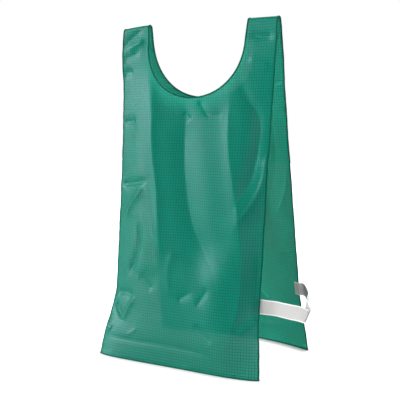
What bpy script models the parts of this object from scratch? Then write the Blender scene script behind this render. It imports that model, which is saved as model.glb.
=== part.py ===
"""Mesh training bib: two net panels joined over the shoulders, standing open on their hems.

Metres, +Z up. The bib stands on z = 0, its front faces -Y, and X runs across it.
Right and left are as seen from the front: the right is at +X. The origin is on the
floor, under the middle of the bib's box.

A panel is worked out in its flat cut: x across it from its middle line, and down, the
way along the cloth from the shoulder seam. panel_points bends that cut over the
shoulder, leans it out to its hem, pulls its edges in at the elastic, and folds it.
Bindings and elastic ends are made from the same points, moved out from the cloth.
"""
from collections import namedtuple
import math

import bmesh
import bpy
import numpy as np

# The whole bib
HEIGHT = 0.635
TOP_HALF_WIDTH = 0.1669
HEM_HALF_WIDTH = 0.1703
SHOULDER_Y = -0.0365
SHOULDER_FOLD_RADIUS = 0.0066
LEFT_SHOULDER_DROOP = 0.005
DROOP_DEPTH = 0.045
SHOULDER_WIDTH = 0.060

# Walls, and the gap that sewn pieces keep
NET_WALL = 0.0015
BINDING_WIDTH = 0.0030
BINDING_WALL = 0.0024
ELASTIC_WALL = 0.0012
ELASTIC_WIDTH = 0.0262
SEAM_GAP = 0.0003
ELASTIC_EASE = 0.0005

# The neck hole in the flat cut: straight sides, then a round bottom
NECK_TOP_HALF_WIDTH = 0.107
NECK_STRAIGHT = 0.040
NECK_DEPTH = 0.145
YOKE_DOWN = 0.190

# How finely the sheets are divided
FOLD_STEPS = 3
NECK_SIDE_STEPS = 3
NECK_CORNER_STEPS = 5
CORNER_ANGLE = math.radians(50)
COLUMNS = 24
BAND_RINGS = 4
BODY_ROWS = 25
ELASTIC_STEPS = 60

# Panel: side is -1 in front and +1 behind, and the middle of its hem stands at hem_y.
# bulge and twist are how far the hem bows out in its middle and swings across it.
# edge_in and edge_back are how far the side edges are drawn at the elastic, whose
# middle is sewn on at the height elastic_z.
Panel = namedtuple(
    "Panel",
    "name side hem_y bulge twist corner_curl edge_in edge_back elastic_z "
    "neck_half_width neck_power folds",
)

# Fold: a soft ridge that runs from its top to its foot, with its reach to each side.
# A negative rise is a trough.
Fold = namedtuple("Fold", "x_top z_top x_foot z_foot reach rise")

FRONT_FOLDS = (
    Fold(-0.110, 0.560, -0.066, 0.110, 0.027, 0.0075),
    Fold(-0.030, 0.520, 0.014, 0.090, 0.026, -0.0070),
    Fold(0.084, 0.540, 0.078, 0.180, 0.030, 0.0060),
    Fold(0.136, 0.530, 0.140, 0.140, 0.018, -0.0050),
    Fold(0.135, 0.150, 0.066, -0.040, 0.020, -0.0025),
)
BACK_FOLDS = (
    Fold(-0.118, 0.560, -0.090, 0.110, 0.026, 0.0070),
    Fold(-0.052, 0.530, -0.030, 0.080, 0.028, -0.0075),
    Fold(0.030, 0.500, 0.050, 0.120, 0.030, 0.0065),
    Fold(0.098, 0.540, 0.112, 0.140, 0.022, -0.0060),
)

# Pull: the share of edge_in and edge_back that the edge takes at each height
Pull = namedtuple("Pull", "z share")
EDGE_PULL = (
    Pull(0.000, 0.00),
    Pull(0.050, 0.40),
    Pull(0.080, 0.78),
    Pull(0.110, 1.00),
    Pull(0.200, 0.96),
    Pull(0.300, 0.82),
    Pull(0.400, 0.65),
    Pull(0.500, 0.40),
    Pull(0.600, 0.00),
    Pull(0.640, 0.00),
)

FRONT = Panel(
    name="front", side=-1, hem_y=-0.1295, bulge=0.0, twist=-0.0035, corner_curl=0.0105,
    edge_in=0.014, edge_back=0.025, elastic_z=0.1225, neck_half_width=0.1035,
    neck_power=2.1, folds=FRONT_FOLDS,
)
BACK = Panel(
    name="back", side=1, hem_y=0.0985, bulge=0.0330, twist=0.0, corner_curl=0.0,
    edge_in=0.006, edge_back=0.004, elastic_z=0.1280, neck_half_width=0.1085,
    neck_power=2.35, folds=BACK_FOLDS,
)

# RoutePoint: where the free elastic passes, and how its upper edge leans per unit up
RoutePoint = namedtuple("RoutePoint", "x y z lean_x lean_y")
ELASTIC_END_LENGTH = 0.0105
RIGHT_ROUTE = (
    RoutePoint(0.1680, -0.0790, 0.1215, 0.00, 0.10),
    RoutePoint(0.1810, -0.0775, 0.1213, 0.00, 0.10),
    RoutePoint(0.1997, -0.0800, 0.1205, 0.00, 0.15),
    RoutePoint(0.2180, -0.0850, 0.1205, 0.05, 0.30),
    RoutePoint(0.2330, -0.0900, 0.1210, 0.08, 0.50),
    RoutePoint(0.2448, -0.0960, 0.1205, 0.12, 0.80),
    RoutePoint(0.2500, -0.0985, 0.1206, 0.16, 0.90),
    RoutePoint(0.2520, -0.0960, 0.1216, 0.16, 0.85),
    RoutePoint(0.2500, -0.0880, 0.1232, 0.12, 0.60),
    RoutePoint(0.2425, -0.0700, 0.1262, 0.06, 0.25),
    RoutePoint(0.2330, -0.0500, 0.1280, 0.03, 0.05),
    RoutePoint(0.2200, -0.0200, 0.1286, 0.00, -0.05),
    RoutePoint(0.2055, 0.0100, 0.1284, 0.00, -0.10),
    RoutePoint(0.1905, 0.0380, 0.1284, 0.00, -0.15),
    RoutePoint(0.1798, 0.0560, 0.1284, 0.00, -0.20),
    RoutePoint(0.1725, 0.0640, 0.1282, 0.00, -0.20),
)
LEFT_ROUTE = (
    RoutePoint(-0.1660, -0.0700, 0.1225, 0.00, 0.10),
    RoutePoint(-0.1850, -0.0330, 0.1218, 0.00, 0.05),
    RoutePoint(-0.2150, 0.0200, 0.1208, -0.05, 0.00),
    RoutePoint(-0.2425, 0.0620, 0.1205, -0.10, 0.00),
    RoutePoint(-0.2526, 0.0830, 0.1205, -0.20, 0.00),
    RoutePoint(-0.2492, 0.0885, 0.1210, -0.20, 0.10),
    RoutePoint(-0.2260, 0.0840, 0.1230, -0.05, 0.00),
    RoutePoint(-0.2000, 0.0765, 0.1255, 0.00, -0.10),
    RoutePoint(-0.1780, 0.0710, 0.1278, 0.00, -0.20),
)

NET_GREEN = (0.035, 0.240, 0.190, 1.0)
BINDING_GREEN = (0.004, 0.070, 0.045, 1.0)
ELASTIC_WHITE = (0.800, 0.800, 0.790, 1.0)

MIDDLE_TOP_Z = HEIGHT - BINDING_WALL / 2
HEM_LEVEL_HEIGHT = 0.020
PROBE = 1e-4


def smooth_table(rows, at):
    """Read a table of (place, value) rows at the given places, along a smooth curve."""
    places = np.array([row[0] for row in rows])
    values = np.array([row[1] for row in rows])
    slopes = np.gradient(values, places)
    at = np.clip(at, places[0], places[-1])
    index = np.clip(np.searchsorted(places, at) - 1, 0, len(places) - 2)
    span = places[index + 1] - places[index]
    t = (at - places[index]) / span
    start = (1 + 2 * t) * (1 - t) ** 2 * values[index] + t * (1 - t) ** 2 * span * slopes[index]
    end = t * t * (3 - 2 * t) * values[index + 1] + t * t * (t - 1) * span * slopes[index + 1]
    return start + end


def ease(share):
    """Rise from 0 to 1 with level ends, as share goes from 0 to 1."""
    share = np.clip(share, 0.0, 1.0)
    return share * share * (3 - 2 * share)


def panel_lean(panel):
    """Angle between a panel and the upright."""
    reach = abs(panel.hem_y - SHOULDER_Y) - SHOULDER_FOLD_RADIUS
    return math.atan(reach / (MIDDLE_TOP_Z - SHOULDER_FOLD_RADIUS))


def fold_length(panel):
    """Length of cloth from the shoulder seam to where the plain panel begins."""
    return SHOULDER_FOLD_RADIUS * (math.pi / 2 - panel_lean(panel))


def down_at(panel, z):
    """Way down the cloth from the shoulder seam to a height on the plain panel."""
    turn = math.pi / 2 - panel_lean(panel)
    fold_drop = SHOULDER_FOLD_RADIUS * (1 - math.cos(turn))
    return fold_length(panel) + (MIDDLE_TOP_Z - fold_drop - z) / math.cos(panel_lean(panel))


def half_width_at(z):
    """Half the width of the flat cut at a height."""
    return HEM_HALF_WIDTH + (TOP_HALF_WIDTH - HEM_HALF_WIDTH) * z / HEIGHT


def fold_rise(folds, x, z):
    """Add up how far the folds lift the cloth."""
    total = np.zeros_like(x)
    for fold in folds:
        share = (fold.z_top - z) / (fold.z_top - fold.z_foot)
        middle = fold.x_top + (fold.x_foot - fold.x_top) * share
        length = ease(share / 0.3) * ease((1 - share) / 0.35)
        total = total + fold.rise * length * np.exp(-(((x - middle) / fold.reach) ** 2))
    return total


def panel_points(panel, x, down):
    """Points of a panel's middle surface for places in its flat cut."""
    x = np.asarray(x, dtype=float)
    down = np.asarray(down, dtype=float)
    lean = panel_lean(panel)
    turn = math.pi / 2 - lean
    angle = np.clip(down / SHOULDER_FOLD_RADIUS, 0.0, turn)
    run = np.maximum(down - fold_length(panel), 0.0)
    out = SHOULDER_FOLD_RADIUS * np.sin(angle) + run * math.sin(lean)
    z = MIDDLE_TOP_Z - SHOULDER_FOLD_RADIUS * (1 - np.cos(angle)) - run * math.cos(lean)

    across = x / half_width_at(z)
    pull = smooth_table(EDGE_PULL, z)
    low = 1 - np.clip(z / HEIGHT, 0.0, 1.0)
    out = out - panel.edge_back * pull * np.abs(across) ** 3
    out = out + panel.bulge * (1 - across**2) * low**1.3
    out = out + panel.twist * across * low * panel.side * -1
    out = out - panel.corner_curl * np.abs(across) ** 8 * ease(low * 6 - 5)
    out = out + fold_rise(panel.folds, x, z)

    outer = np.clip((-x - NECK_TOP_HALF_WIDTH) / SHOULDER_WIDTH, 0.0, 1.0)
    z = z - LEFT_SHOULDER_DROOP * outer**1.5 * np.exp(-((low * HEIGHT / DROOP_DEPTH) ** 2))
    side_x = x - panel.edge_in * pull * across**3
    return np.stack([side_x, SHOULDER_Y + panel.side * out, z], axis=-1)


def unit(vectors):
    """Scale vectors to length 1."""
    return vectors / np.linalg.norm(vectors, axis=-1, keepdims=True)


def panel_normals(panel, x, down):
    """Directions straight out of the cloth, away from the inside of the bib.

    They turn level at the hem, so that the tape there has a flat underside.
    """
    x = np.asarray(x, dtype=float)
    down = np.maximum(np.asarray(down, dtype=float), 2 * PROBE)
    across = panel_points(panel, x + PROBE, down) - panel_points(panel, x - PROBE, down)
    along = panel_points(panel, x, down + PROBE) - panel_points(panel, x, down - PROBE)
    normals = unit(np.cross(along, across)) * -panel.side
    above_hem = panel_points(panel, x, down)[..., 2] - 2 * BINDING_WIDTH
    normals[..., 2] *= ease(above_hem / HEM_LEVEL_HEIGHT)
    return unit(normals)


def neck_curve(panel):
    """Stations round the neck hole's edge in the flat cut, from the left seam to the right.

    Each row is x, down, and the direction away from the hole.
    """
    straight_top = np.linspace(0.0, fold_length(panel), FOLD_STEPS + 1)[:-1]
    straight = np.linspace(fold_length(panel), NECK_STRAIGHT, NECK_SIDE_STEPS + 1)[:-1]
    side_down = np.concatenate([straight_top, straight])
    taper = side_down / NECK_STRAIGHT
    side_x = NECK_TOP_HALF_WIDTH + (panel.neck_half_width - NECK_TOP_HALF_WIDTH) * taper

    corner = np.linspace(0.0, CORNER_ANGLE, NECK_CORNER_STEPS + 1)[:-1]
    bottom = np.linspace(CORNER_ANGLE, math.pi / 2, COLUMNS // 2 + 1)
    angles = np.concatenate([corner, bottom])
    power = 2 / panel.neck_power
    round_x = panel.neck_half_width * np.cos(angles) ** power
    round_x[-1] = 0.0
    round_down = NECK_STRAIGHT + (NECK_DEPTH - NECK_STRAIGHT) * np.sin(angles) ** power

    x = np.concatenate([side_x, round_x])
    down = np.concatenate([side_down, round_down])
    x = np.concatenate([-x, x[-2::-1]])
    down = np.concatenate([down, down[-2::-1]])
    way = unit(np.stack([np.gradient(x), np.gradient(down)], axis=-1))
    return x, down, np.stack([-way[:, 1], way[:, 0]], axis=-1)


def neck_offset(panel, distance):
    """The neck hole's edge in the flat cut, moved away from the hole."""
    x, down, away = neck_curve(panel)
    return x + away[:, 0] * distance, np.maximum(down + away[:, 1] * distance, 0.0)


def outer_curve(panel, inset):
    """Stations down the left edge, across the yoke line and up the right edge."""
    top = np.linspace(0.0, fold_length(panel), FOLD_STEPS + 1)
    side_steps = NECK_SIDE_STEPS + NECK_CORNER_STEPS
    side = np.linspace(fold_length(panel), YOKE_DOWN, side_steps + 1)[1:]
    edge_down = np.concatenate([top, side])
    edge_x = edge_half_width(panel, edge_down) - inset
    yoke_x = np.linspace(-edge_x[-1], edge_x[-1], COLUMNS + 1)[1:-1]
    x = np.concatenate([-edge_x, yoke_x, edge_x[::-1]])
    down = np.concatenate([edge_down, np.full(COLUMNS - 1, YOKE_DOWN), edge_down[::-1]])
    return x, down


def edge_half_width(panel, down):
    """Half the flat cut's width, this far down the cloth."""
    share = np.clip(np.asarray(down) / down_at(panel, 0.0), 0.0, 1.0)
    return TOP_HALF_WIDTH + (HEM_HALF_WIDTH - TOP_HALF_WIDTH) * share


def body_rows(panel):
    """How far down the cloth each row of the panel's body lies, below the yoke line."""
    return np.linspace(YOKE_DOWN, down_at(panel, BINDING_WIDTH + SEAM_GAP), BODY_ROWS + 1)


def panel_sheet(panel):
    """Flat cut of a panel inside its bindings: x, down and the faces between them."""
    inset = BINDING_WIDTH + SEAM_GAP
    neck_x, neck_down = neck_offset(panel, inset)
    outer_x, outer_down = outer_curve(panel, inset)
    ring_size = len(neck_x)
    share = np.linspace(0.0, 1.0, BAND_RINGS + 1)[:, None]
    band_x = neck_x + (outer_x - neck_x) * share
    band_down = neck_down + (outer_down - neck_down) * share
    band_down = np.maximum(band_down, SEAM_GAP / 2)

    faces = []
    for ring in range(BAND_RINGS):
        for station in range(ring_size - 1):
            corner = ring * ring_size + station
            faces.append((corner, corner + 1, corner + ring_size + 1, corner + ring_size))

    yoke_start = BAND_RINGS * ring_size + (ring_size - 1 - COLUMNS) // 2
    first_row = yoke_start + np.arange(COLUMNS + 1)
    rows = body_rows(panel)[1:]
    spread = np.linspace(-1.0, 1.0, COLUMNS + 1)
    body_x = spread * (edge_half_width(panel, rows)[:, None] - inset)
    body_down = np.repeat(rows[:, None], COLUMNS + 1, axis=1)
    band_size = (BAND_RINGS + 1) * ring_size
    below = band_size + np.arange(BODY_ROWS * (COLUMNS + 1)).reshape(BODY_ROWS, COLUMNS + 1)
    grid = np.vstack([first_row, below])
    for upper, lower in zip(grid[:-1], grid[1:]):
        for column in range(COLUMNS):
            faces.append((upper[column], upper[column + 1], lower[column + 1], lower[column]))

    x = np.concatenate([band_x.ravel(), body_x.ravel()])
    down = np.concatenate([band_down.ravel(), body_down.ravel()])
    return x, down, faces


def make_material(name, colour, roughness):
    """A plain material with its colour and roughness."""
    material = bpy.data.materials.new(name)
    material.use_nodes = True
    shader = material.node_tree.nodes["Principled BSDF"]
    shader.inputs["Base Color"].default_value = colour
    shader.inputs["Roughness"].default_value = roughness
    material.diffuse_color = colour
    return material


def add_object(name, mesh_builder, material):
    """Turn a finished bmesh into a named object with its faces pointing out."""
    bmesh.ops.recalc_face_normals(mesh_builder, faces=mesh_builder.faces)
    mesh = bpy.data.meshes.new(name)
    mesh_builder.to_mesh(mesh)
    mesh_builder.free()
    mesh.shade_smooth()
    mesh.set_sharp_from_angle(angle=math.radians(40))
    mesh.materials.append(material)
    made = bpy.data.objects.new(name, mesh)
    bpy.context.collection.objects.link(made)
    return made


def add_wall(name, points, normals, faces, wall, material):
    """Thicken a sheet of points into a closed wall: two skins and the rim between them."""
    builder = bmesh.new()
    outer = [builder.verts.new(place) for place in points + normals * wall / 2]
    inner = [builder.verts.new(place) for place in points - normals * wall / 2]
    partner = dict(zip(outer, inner))
    skin = [builder.faces.new([outer[corner] for corner in face]) for face in faces]
    rim = [edge for face in skin for edge in face.edges if edge.is_boundary]
    for face in faces:
        builder.faces.new([inner[corner] for corner in reversed(face)])
    for edge in rim:
        start, end = edge.verts
        builder.faces.new((start, end, partner[end], partner[start]))
    return add_object(name, builder, material)


def add_strip(name, sections, closed, material):
    """Skin a strip of four-cornered sections, as a ring or with closed ends."""
    builder = bmesh.new()
    loops = [[builder.verts.new(corner) for corner in section] for section in sections]
    followers = loops[1:] + loops[:1] if closed else loops[1:]
    for loop, follower in zip(loops, followers):
        for corner in range(4):
            other = (corner + 1) % 4
            builder.faces.new((loop[corner], loop[other], follower[other], follower[corner]))
    if not closed:
        builder.faces.new(loops[0])
        builder.faces.new(loops[-1])
    return add_object(name, builder, material)


def cloth_sections(panel, edge_x, edge_down, inner_x, inner_down, wall):
    """Sections of a binding whose edge and inner side follow two lines in the flat cut."""
    edge = panel_points(panel, edge_x, edge_down)
    inner = panel_points(panel, inner_x, inner_down)
    edge_out = panel_normals(panel, edge_x, edge_down) * wall / 2
    inner_out = panel_normals(panel, inner_x, inner_down) * wall / 2
    corners = [edge + edge_out, inner + inner_out, inner - inner_out, edge - edge_out]
    return list(np.stack(corners, axis=1))


def add_panel(panel, material):
    """A net panel, from its seam at the shoulders to its hem."""
    x, down, faces = panel_sheet(panel)
    points = panel_points(panel, x, down)
    normals = panel_normals(panel, x, down)
    return add_wall(panel.name + "_panel", points, normals, faces, NET_WALL, material)


def add_neck_binding(material):
    """The ring of tape round the neck hole, over both shoulders."""
    sections = []
    for panel in (FRONT, BACK):
        edge_x, edge_down, _ = neck_curve(panel)
        inner_x, inner_down = neck_offset(panel, BINDING_WIDTH)
        ring = cloth_sections(panel, edge_x, edge_down, inner_x, inner_down, BINDING_WALL)
        if panel is BACK:
            ring = ring[-2:0:-1]
        sections += ring
    return add_strip("neck_binding", sections, True, material)


def add_side_binding(name, sign, material):
    """The tape along one side: up the front edge, over the shoulder and down the back."""
    runs = []
    for panel in (FRONT, BACK):
        top = outer_curve(panel, 0.0)[1][: FOLD_STEPS + NECK_SIDE_STEPS + NECK_CORNER_STEPS + 1]
        down = np.concatenate([top, body_rows(panel)[1:]])
        edge_x = edge_half_width(panel, down) * sign
        inner_x = edge_x - BINDING_WIDTH * sign
        runs.append(cloth_sections(panel, edge_x, down, inner_x, down, BINDING_WALL))
    front, back = runs
    return add_strip(name, front[::-1] + back[1:], False, material)


def add_hem_binding(panel, material):
    """The tape along a hem, with a flat underside that stands on the floor."""
    x = np.linspace(-1.0, 1.0, COLUMNS + 1) * HEM_HALF_WIDTH
    foot = np.full_like(x, down_at(panel, 0.0))
    top = np.full_like(x, down_at(panel, BINDING_WIDTH))
    sections = cloth_sections(panel, x, foot, x, top, BINDING_WALL)
    return add_strip(panel.name + "_hem_binding", sections, False, material)


def elastic_end(panel, sign):
    """Four points of an elastic's sewn end, inside a panel, and its way up there.

    They run from the cut end to the panel's edge.
    """
    edge = half_width_at(panel.elastic_z)
    over_binding = edge - BINDING_WIDTH / 2
    beside_binding = edge - BINDING_WIDTH * 2
    cut_end = edge - ELASTIC_END_LENGTH
    x = sign * np.array([cut_end, (cut_end + beside_binding) / 2, beside_binding, over_binding])
    down = np.full(len(x), down_at(panel, panel.elastic_z))
    on_net = (NET_WALL + ELASTIC_WALL) / 2 + SEAM_GAP + ELASTIC_EASE
    on_binding = (BINDING_WALL + ELASTIC_WALL) / 2 + SEAM_GAP + ELASTIC_EASE
    lift = np.array([on_net, on_net, on_net, on_binding])[:, None]
    points = panel_points(panel, x, down) - panel_normals(panel, x, down) * lift
    up = unit(panel_points(panel, x, down - PROBE) - panel_points(panel, x, down + PROBE))
    return points, up


def smooth_route(rows, steps):
    """Pass a smooth curve through the rows and divide it evenly by its length."""
    rows = np.asarray(rows)
    chords = np.linalg.norm(np.diff(rows[:, :3], axis=0), axis=1)
    places = np.concatenate([[0.0], np.cumsum(chords)])
    fine = np.linspace(0.0, places[-1], steps * 20)
    curve = np.stack([smooth_table(list(zip(places, column)), fine) for column in rows.T], axis=-1)
    lengths = np.linalg.norm(np.diff(curve[:, :3], axis=0), axis=1)
    travelled = np.concatenate([[0.0], np.cumsum(lengths)])
    even = np.linspace(0.0, travelled[-1], steps + 1)
    return np.stack([np.interp(even, travelled, column) for column in curve.T], axis=-1)


def add_elastic(name, sign, route, material):
    """An elastic from the front panel's inner face round to the back panel's inner face."""
    front_points, front_up = elastic_end(FRONT, sign)
    back_points, back_up = elastic_end(BACK, sign)
    free = np.array([(row.x, row.y, row.z, row.lean_x, row.lean_y, 1.0) for row in route])
    rows = np.vstack([
        np.hstack([front_points, front_up]),
        free,
        np.hstack([back_points, back_up])[::-1],
    ])
    curve = smooth_route(rows, ELASTIC_STEPS)
    centre = curve[:, :3]
    along = unit(np.gradient(centre, axis=0))
    up = curve[:, 3:]
    up = unit(up - along * np.sum(up * along, axis=1, keepdims=True)) * ELASTIC_WIDTH / 2
    out = unit(np.cross(along, up)) * ELASTIC_WALL / 2
    corners = [centre + up + out, centre + up - out, centre - up - out, centre - up + out]
    return add_strip(name, list(np.stack(corners, axis=1)), False, material)


def main():
    for old in list(bpy.data.objects):
        bpy.data.objects.remove(old, do_unlink=True)
    net = make_material("net", NET_GREEN, 0.55)
    tape = make_material("binding_tape", BINDING_GREEN, 0.6)
    elastic = make_material("elastic", ELASTIC_WHITE, 0.7)
    for panel in (FRONT, BACK):
        add_panel(panel, net)
        add_hem_binding(panel, tape)
    add_neck_binding(tape)
    add_side_binding("right_side_binding", 1, tape)
    add_side_binding("left_side_binding", -1, tape)
    add_elastic("right_elastic", 1, RIGHT_ROUTE, elastic)
    add_elastic("left_elastic", -1, LEFT_ROUTE, elastic)


main()
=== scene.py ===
"""Looks of a mesh training bib: net panels, folded tape, sewing and woven elastic.

Metres, +Z up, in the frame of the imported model. The front faces -Y, and right is at +X.
A panel is worked out in its flat cut, x across it and down the way along the cloth from
the shoulder seam, and panel_points bends that cut into the bib's form, as the model does.
"""
import math
from collections import namedtuple

import bpy
import numpy as np
from bpy.props import FloatProperty, FloatVectorProperty, IntProperty, PointerProperty
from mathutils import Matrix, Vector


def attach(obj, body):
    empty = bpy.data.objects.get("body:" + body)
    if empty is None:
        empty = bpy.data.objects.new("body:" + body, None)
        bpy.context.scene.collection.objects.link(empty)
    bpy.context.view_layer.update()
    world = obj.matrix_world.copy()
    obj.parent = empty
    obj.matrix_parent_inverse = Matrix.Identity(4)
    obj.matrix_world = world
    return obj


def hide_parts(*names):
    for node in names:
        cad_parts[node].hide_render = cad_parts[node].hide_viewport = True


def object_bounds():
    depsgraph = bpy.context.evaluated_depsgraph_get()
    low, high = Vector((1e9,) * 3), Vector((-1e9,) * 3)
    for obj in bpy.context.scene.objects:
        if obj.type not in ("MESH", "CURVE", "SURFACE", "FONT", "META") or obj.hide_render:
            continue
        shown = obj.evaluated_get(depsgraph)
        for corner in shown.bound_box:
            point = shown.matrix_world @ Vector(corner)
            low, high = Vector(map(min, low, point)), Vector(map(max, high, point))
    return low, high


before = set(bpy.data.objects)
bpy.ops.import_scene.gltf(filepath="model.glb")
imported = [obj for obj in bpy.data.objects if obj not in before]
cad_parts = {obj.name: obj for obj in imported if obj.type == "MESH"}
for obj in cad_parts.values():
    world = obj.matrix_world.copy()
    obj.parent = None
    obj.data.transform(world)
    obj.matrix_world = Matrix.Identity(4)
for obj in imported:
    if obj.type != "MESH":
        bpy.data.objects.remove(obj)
cad_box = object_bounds()

bl_info = {
    "name": "Mesh training bib",
    "version": (1, 0, 0),
    "blender": (4, 5, 0),
    "location": "3D View > Sidebar > Bib",
    "description": "Net panels, folded tape, sewing and woven elastic of a training bib",
    "category": "Object",
}

BODY = "root"
MM = 0.001

# The cut and the stance, as the model has them
HEIGHT = cad_box[1].z
HEM_HALF_WIDTH = 0.1703
TOP_HALF_WIDTH = 0.1669
SHOULDER_Y = -0.0365
SHOULDER_FOLD_RADIUS = 0.0066
LEFT_SHOULDER_DROOP = 0.005
DROOP_DEPTH = 0.045
SHOULDER_WIDTH = 0.060
MIDDLE_TOP_Z = HEIGHT - 0.0012
HEM_LEVEL_START = 0.006
HEM_LEVEL_HEIGHT = 0.020
NECK_TOP_HALF_WIDTH = 0.107
NECK_STRAIGHT = 0.040
NECK_DEPTH = 0.145
YOKE_DOWN = 0.190
CORNER_ANGLE = math.radians(50)
PROBE = 1e-4

# Loose fibres cross each hole of the net and stop this share of the light there
HOLE_FUZZ = 0.50

# How softly the threads of a woven pattern end at their sides, from 0 to 1
THREAD_SOFTNESS = 0.2

# Node kinds that come up often, and a Mix node's colours, whose sockets share their names
MATH = "ShaderNodeMath"
MIX = "ShaderNodeMix"
NOISE = "ShaderNodeTexNoise"
FIRST = 6
SECOND = 7
MIXED = 2

# How closely each bend of a panel keeps to its side edges, its corners, its hem and the
# shoulder's outer end. The corners curl in the lowest of CORNER_PARTS parts of the height.
EDGE_POWER = 3
CORNER_POWER = 8
BULGE_POWER = 1.3
DROOP_POWER = 1.5
CORNER_PARTS = 6

# Creases and ripples start this far from the shoulder seam and grow over SEAM_FADE
SEAM_CLEAR = 0.003
SEAM_FADE = 0.020

# How finely the sheets, tapes and elastics are divided
COLUMNS = 172
BODY_ROWS = 190
BAND_RINGS = 22
FOLD_STEPS = 8
NECK_SIDE_STEPS = 14
NECK_CORNER_STEPS = 24
ELASTIC_STEPS = 260
ROUTE_FINENESS = 20
RIB_STEPS = 6
SHARP_ANGLE = math.radians(50)

# Sewing. A line of stitches lies STITCH_LINE of the tape's width from its fold, where the
# tape has TAPE_RISE of its half depth, and a thread stands THREAD_OUT of its radius out.
# A side tape ends TAPE_GAP above the tape of its hem.
STITCH_LINE = 0.66
TAPE_RISE = 0.96
THREAD_OUT = 0.3
STITCH_SIDES = 6
STITCH_RINGS = 4
TAPE_GAP = 0.0003

# How far the elastic stays off the net and the tape, the length of it that is sewn
# inside a panel, how square its edges are, and the margins of the stitched box there
NET_CLEARANCE = 0.0006
TAPE_CLEARANCE = 0.0005
ELASTIC_END_LENGTH = 0.0105
ELASTIC_EDGE_POWER = 40
TACK_SIDE_MARGIN = 0.0020
TACK_TAPE_MARGIN = 0.0008
TACK_END_MARGIN = 0.0016
TACK_STEPS = 8

# Fold: a soft ridge that runs from its top to its foot, with its reach to each side.
# A negative rise is a trough. The fades are the shares of its length that its ends take.
Fold = namedtuple("Fold", "x_top z_top x_foot z_foot reach rise")
FOLD_TOP_FADE = 0.30
FOLD_FOOT_FADE = 0.35

# Crease: a ridge or trough along a path of (x, z) places on the cloth. Its flanks die
# away over width, its top is rounded by CREASE_ROUND, and towards its ends it sinks to
# CREASE_END_RISE of its rise.
Crease = namedtuple("Crease", "path width rise")
CREASE_ROUND = 0.0020
CREASE_END_RISE = 0.08
CREASE_START_FADE = 0.22
CREASE_STOP_FADE = 0.25
CREASE_STEPS = 6

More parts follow.
